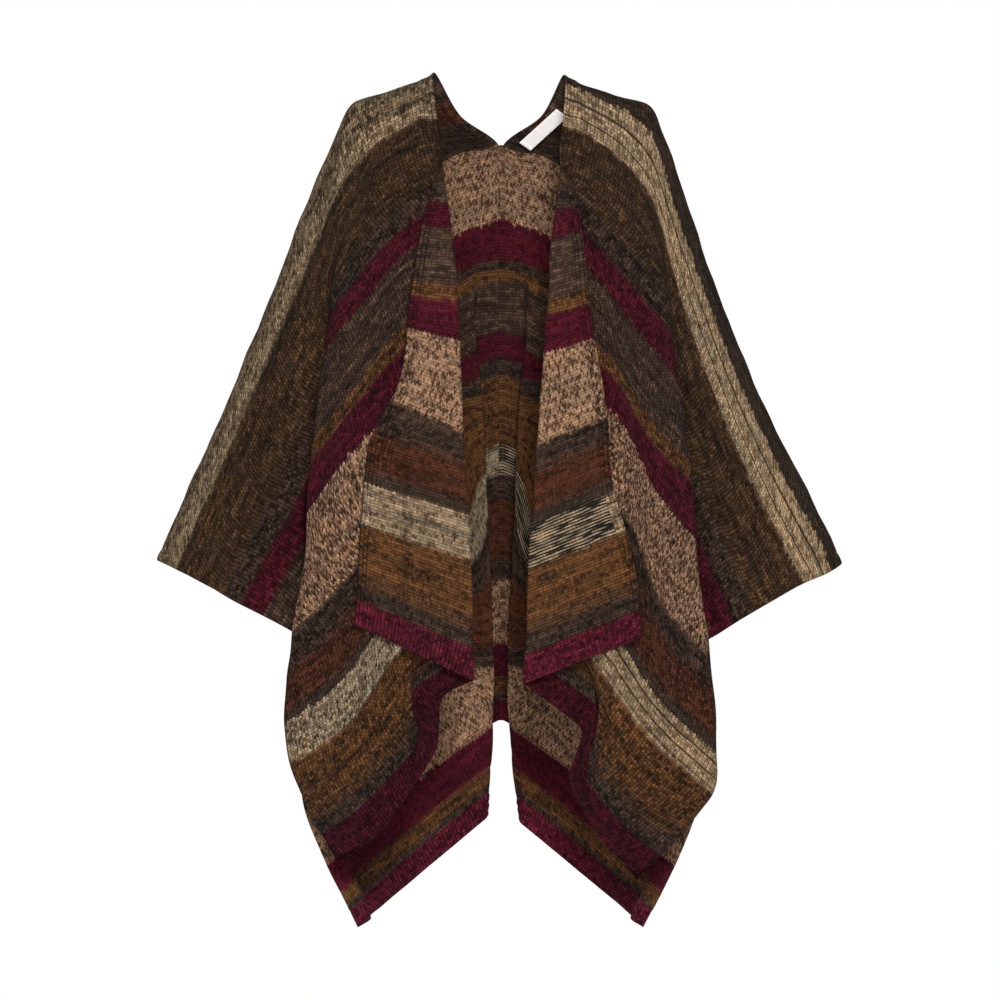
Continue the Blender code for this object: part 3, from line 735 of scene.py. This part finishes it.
def newWool(name, wale, purl):
    # the marl group colours the stitches and paints shade into their hollows,
    # and their height with a little fuzz is the bump
    material, tree, shader = newMaterial(name)
    stitches = useGroup(tree, stitchGroup, {
        "Cloth": clothVector(tree), "Wale": wale, "Course": knitLook["course"], "Purl": purl}).outputs
    marl = useGroup(tree, marlGroup, {label: stitches[label] for label in stitchLabels})
    height = mathNode(tree, "MULTIPLY_ADD", stitches["Fuzz"], woolLook["fuzzBump"], stitches["Height"])
    fill(tree, shader, {"Base Color": marl.outputs["Colour"], "Normal": bumpOf(tree, height, woolLook["bump"]),
                        **woolLook["finish"]})
    return material, tree, stitches, marl


def stripedWool(name, stripes, wrongSide, courses=()):
    # a stripe's edge is half way from its yarn to the next, and the dark courses lie over the marl
    material, tree, stitches, marl = newWool(name, knitLook["wale"], float(wrongSide))
    stripeGroup = makeStripeGroup(name + "Stripes", stripes, wrongSide)
    below, above = (
        useGroup(tree, stripeGroup, {"Along": mathNode(tree, "ADD", stitches["Stitch Along"], shift)}).outputs
        for shift in (-marlLook["blend"], marlLook["blend"]))
    for mixed, labels in ((mixColours, ("Main", "Fleck", "Lines")), (mixNumbers, ("Share", "Change", "Lengthwise"))):
        fill(tree, marl, {label: mixed(tree, 0.5, below[label], above[label]) for label in labels})
    if courses:
        mask = 0.0
        for middle, half, strength in courses:
            onLine = mathNode(tree, "COMPARE", stitches["Along"], middle / 1000, half / 1000)
            mask = mathNode(tree, "MULTIPLY_ADD", onLine, strength, mask)
        dark = (*reflected(marlLook["plainSide"], darkWool), 1.0)
        fill(tree, tree.nodes["Principled BSDF"],
             {"Base Color": mixColours(tree, mask, marl.outputs["Colour"], dark)})
    return material


def plainWool(name, yarnName, wale, depth):
    # one yarn all over, so its numbers go straight into the marl group
    material, tree, _, marl = newWool(name, wale, 0.0)
    main, fleck, share, change, lengthwise, lines = yarns[yarnName]
    fill(tree, marl, {"Main": (*reflected(depth, main), 1.0), "Fleck": (*reflected(depth, fleck), 1.0),
                      "Share": share, "Change": change, "Lengthwise": lengthwise, "Lines": lines})
    return material


# the two panels, each knitted in one piece over its shoulder
panelLook = {"rowStep": 0.0057, "edgeBand": 0.0135, "edgeRise": 0.0007, "grooveDepth": 0.0005,
             "grooveFromBand": 0.0015, "grooveWidth": 0.001, "edgeColumns": 6}
sideNames = {-1: "left", 1: "right"}
sideWools = {}


def edgeBand(across):
    # the band along each free edge is a low round rib, sin(pi u / band), with a narrow groove beside it,
    # depth * exp(-((u - middle) / width)^2)
    near = np.minimum(across, across[:, -1:] - across)
    rib = np.sin(np.pi * np.clip(near / panelLook["edgeBand"], 0, 1)) * panelLook["edgeRise"]
    fromGroove = near - panelLook["edgeBand"] - panelLook["grooveFromBand"]
    groove = np.exp(-(fromGroove / panelLook["grooveWidth"]) ** 2) * panelLook["grooveDepth"]
    return (rib - groove)[..., None]


def keepPiece(piece, node):
    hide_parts(node)
    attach(piece, "root")


for side in (-1, 1):
    name = sideNames[side]
    start, end = stretches(side)["panel"]
    along = np.linspace(start, end, int((end - start) / panelLook["rowStep"]))
    points, out, clothUv = shapedCloth(side, along)
    half = out * (hanging["wall"] / 2 + edgeBand(clothUv[..., 0]))
    sideWools[side] = [stripedWool(name + "RightSide", sideStripes[side], False, darkCourses if side > 0 else ()),
                       stripedWool(name + "WrongSide", sideStripes[side], True)]
    piece = makeShell(name + "KnitPanel", points + half, points - half, clothUv, side, sideWools[side],
                      panelLook["edgeColumns"])
    keepPiece(piece, name + "_panel")
    print(name, "panel made,", len(piece.data.polygons), "faces")

# ribbed hems
ribLook = {"pitch": 0.0052, "perRib": 6, "depth": 0.0013, "rows": 10}
# the ribs' outer face gets less than half the depth of the inner face in the same yarn: painted shade
ribWools = [plainWool("burgundyRib", "burgundy", ribLook["pitch"], marlLook["ribPaintedShadeDepth"]),
            plainWool("burgundyRibWrongSide", "burgundy", ribLook["pitch"], marlLook["ribWrong"])]


def readAt(places, run, values):
    # each row's values, read at its own places across the cloth
    return np.stack([np.stack([np.interp(place, rowRun, row[:, axis]) for axis in range(3)], axis=-1)
                     for place, rowRun, row in zip(places, run, values)])


def ribBand(side, part):
    # each rib is a half wave across the band, |sin|, on both faces; u counts the ribs at their even pitch
    start, end = stretches(side)[part]
    along = np.linspace(start, end, ribLook["rows"])
    fine, _, _ = shapedCloth(side, along)
    run = runAcross(fine)
    count = int(run[:, -1].mean() / ribLook["pitch"]) * ribLook["perRib"] + 1
    points = readAt(np.linspace(0, 1, count) * run[:, -1:], run, fine)
    out = outwardWay(side, points)
    ribs = np.arange(count) / ribLook["perRib"]
    wave = np.abs(np.sin(ribs * math.pi)) - 0.5
    lift = out * (ribLook["depth"] * wave)[None, :, None]
    half = out * hanging["wall"] / 2
    clothUv = np.stack(np.broadcast_arrays((ribs * ribLook["pitch"])[None, :], along[:, None]), axis=-1)
    return points + half + lift, points - half - lift, clothUv


for side in (-1, 1):
    for part, node in (("frontRib", "_front_rib"), ("backRib", "_back_rib")):
        outer, inner, clothUv = ribBand(side, part)
        name = sideNames[side] + part[0].upper() + part[1:]
        keepPiece(makeShell(name, outer, inner, clothUv, side, ribWools),
                  sideNames[side] + node)
for side in (-1, 1):
    name = sideNames[side]
print("panels and ribs made")

# the linked seam down the middle of the back
seamLook = {"halfWidth": 0.0027, "columns": 9, "rowStep": 0.0008, "link": 0.0042, "rise": 0.0006}


def backSeam():
    # the strip between the panels' edges; on the wearer's side its links rise by |sin(pi s / link)| cos(pi x / 2)
    start, end = stretches(1)["backRib"][0], hanging["neckPoint"]
    along = np.linspace(start, end, int((end - start) / seamLook["rowStep"]))
    points, out, _ = shapedCloth(1, along)
    place = np.linspace(-1, 1, seamLook["columns"])
    strip = np.repeat(points[:, :1], seamLook["columns"], axis=1)
    strip[..., 0] = place * seamLook["halfWidth"]
    way = unit(out[:, 0] * (0, 1, 1))[:, None]
    link = np.abs(np.sin(math.pi * along / seamLook["link"]))[:, None] * np.cos(math.pi / 2 * place)[None, :]
    half = hanging["wall"] / 2
    clothUv = np.stack(np.broadcast_arrays((place * seamLook["halfWidth"])[None, :], along[:, None]), axis=-1)
    return strip + way * half, strip - way * (half + seamLook["rise"] * link)[..., None], clothUv


outer, inner, clothUv = backSeam()
keepPiece(makeShell("linkedBackSeam", outer, inner, clothUv, 1, sideWools[1]), "centre_back_seam")

# the blank label, sewn to the right panel by its two short ends
labelLook = {"start": -0.130, "end": -0.050, "inset": 0.0105, "width": 0.019, "wall": 0.0009, "clear": 0.0008,
             "length": 0.072, "rows": 61, "columns": 15, "turning": 0.0045, "turningFade": 0.0006,
             "turningRise": 0.0005, "white": (250, 246, 242), "shade": (238, 232, 227), "weave": 0.0007,
             "weaveShade": 0.25, "cloudShade": 0.5, "cloudSize": 160.0,
             "finish": {"Roughness": 0.65, "Specular IOR Level": 0.3}, "bump": {"Strength": 0.5, "Distance": 0.0003}}


def ribbonLabel():
    # a flat ribbon on the chord of the hollow neck, as far out as its highest footing; it is double near both ends
    along = np.linspace(labelLook["start"], labelLook["end"], labelLook["rows"])
    points, _, clothUv = shapedCloth(1, along)
    plain = hangingCloth(1, along)
    insets = labelLook["inset"] + np.linspace(0, labelLook["width"], labelLook["columns"])
    footing, chord, ways = (readAt([insets] * len(along), clothUv[..., 0], values)
                            for values in (points, plain, outwardWay(1, plain)))
    ways = -unit(ways)
    way = unit(ways.mean(axis=(0, 1)))
    lengthWay = unit(chord[-1].mean(axis=0) - chord[0].mean(axis=0))
    widthWay = unit(np.cross(lengthWay, way))
    way = np.cross(widthWay, lengthWay)
    middle = (chord[0].mean(axis=0) + chord[-1].mean(axis=0)) / 2
    stand = ((footing - middle) @ way).max() + hanging["wall"] / 2 + labelLook["clear"]
    t = np.linspace(-0.5, 0.5, labelLook["rows"])[:, None] * labelLook["length"]
    s = np.linspace(-0.5, 0.5, labelLook["columns"])[None, :] * labelLook["width"]
    fromEnd = labelLook["length"] / 2 - np.abs(t)
    doubled = 1 - smoothStep(fromEnd, labelLook["turning"] - labelLook["turningFade"], labelLook["turning"])
    flat = middle + t[..., None] * lengthWay + s[..., None] * widthWay
    top = stand + labelLook["wall"] + labelLook["turningRise"] * doubled
    return flat + way * top[..., None], flat + way * stand, np.stack(np.broadcast_arrays(s, t), axis=-1)


def ribbonWeave():
    # a plain weave: sin(u) sin(v) at the thread's pitch, under a faint shading
    material, tree, shader = newMaterial("whiteRibbon")
    cloth = clothVector(tree)
    threads = [mathNode(tree, "SINE", mathNode(tree, "MULTIPLY", flat, 2 * math.pi / labelLook["weave"]))
               for flat in splitUp(tree, cloth)[:2]]
    weave = mathNode(tree, "MULTIPLY_ADD", mathNode(tree, "MULTIPLY", *threads), 0.5, 0.5)
    cloudy = mathNode(tree, "MULTIPLY", noise(tree, cloth, labelLook["cloudSize"], 3.0), labelLook["cloudShade"])
    share = mathNode(tree, "MULTIPLY_ADD", weave, labelLook["weaveShade"], cloudy)
    white, shade = ((*linear(*labelLook[name]), 1.0) for name in ("white", "shade"))
    fill(tree, shader, {"Base Color": mixColours(tree, share, white, shade),
                        "Normal": bumpOf(tree, weave, labelLook["bump"]), **labelLook["finish"]})
    return material


outer, inner, clothUv = ribbonLabel()
ribbon = ribbonWeave()
keepPiece(makeShell("blankRibbonLabel", outer, inner, clothUv, -1, [ribbon, ribbon]), "neck_label")
print("seam and label made")

# a round pale floor that fades out with the distance from the middle
studio = {"floorZ": -1.46, "floorRadius": 3.2, "floorSides": 96, "fadeFrom": 0.9, "pale": (0.93, 0.93, 0.93, 1.0),
          "floorRoughness": 0.9, "backdrop": 1.0, "roomLight": 0.21}
turn = np.linspace(0, 2 * np.pi, studio["floorSides"], endpoint=False)
rim = np.stack([np.cos(turn) * studio["floorRadius"], np.sin(turn) * studio["floorRadius"],
                np.full(len(turn), studio["floorZ"])], axis=-1)
floorMesh = bpy.data.meshes.new("floor")
floorMesh.from_pydata(rim, [], [tuple(range(len(turn)))])
floor = bpy.data.objects.new("floor", floorMesh)
bpy.context.scene.collection.objects.link(floor)
floorMaterial, floorTree, floorShader = newMaterial("paleFloor")
place = floorTree.nodes.new("ShaderNodeTexCoord").outputs["Object"]
flatPlace = vectorNode(floorTree, "MULTIPLY", place, (1.0, 1.0, 0.0))[0]
fade = floorTree.nodes.new("ShaderNodeMapRange")
fade.interpolation_type = "SMOOTHSTEP"
fill(floorTree, fade, {"Value": vectorNode(floorTree, "LENGTH", flatPlace)["Value"],
                       "From Min": studio["fadeFrom"], "From Max": studio["floorRadius"],
                       "To Min": 1.0, "To Max": 0.0})
fill(floorTree, floorShader, {"Base Color": studio["pale"], "Roughness": studio["floorRoughness"],
                              "Alpha": fade.outputs["Result"]})
floorMesh.materials.append(floorMaterial)

# the room is white to the camera and gives the cloth a softer light
world = bpy.data.worlds.new("softWhite")
bpy.context.scene.world = world
world.use_nodes = True
roomTree = world.node_tree
seen = roomTree.nodes.new("ShaderNodeLightPath").outputs["Is Camera Ray"]
fill(roomTree, roomTree.nodes["Background"],
     {"Color": (1.0, 1.0, 1.0, 1.0),
      "Strength": mixNumbers(roomTree, seen, studio["roomLight"], studio["backdrop"])})

# lights: place, target height, size and power
lamps = {
    "keyLight": ((0.7, -6.2, 2.4), -0.5, 1.5, 465),
    "lowLight": ((-0.2, -6.0, -0.8), -0.6, 1.6, 125),
    "sideLight": ((-1.8, -3.4, 1.4), -0.5, 2.0, 22),
    "backLight": ((-1.2, 6.0, 0.6), -0.6, 2.5, 500),
}
for name, (place, targetHeight, size, power) in lamps.items():
    lamp = bpy.data.lights.new(name, "AREA")
    lamp.shape = "DISK"
    lamp.size = size
    lamp.energy = power
    light = bpy.data.objects.new(name, lamp)
    bpy.context.scene.collection.objects.link(light)
    light.location = place
    light.rotation_euler = (Vector((0, 0, targetHeight)) - Vector(place)).to_track_quat("-Z", "Y").to_euler()
bpy.context.scene.view_settings.view_transform = "Standard"

# the lens takes in a set width at the part's distance
cameraLook = {"across": -0.0013, "distance": 12.0, "height": -0.555, "sensor": 36.0, "widthSeen": 1.3,
              "farthest": 100.0}
camera = bpy.data.objects.new("camera", bpy.data.cameras.new("camera"))
bpy.context.scene.collection.objects.link(camera)
camera.location = (cameraLook["across"], -cameraLook["distance"], cameraLook["height"])
camera.rotation_euler = (math.pi / 2, 0, 0)
camera.data.sensor_width = cameraLook["sensor"]
camera.data.lens = cameraLook["sensor"] * cameraLook["distance"] / cameraLook["widthSeen"]
camera.data.clip_end = cameraLook["farthest"]
bpy.context.scene.camera = camera
print("studio made")
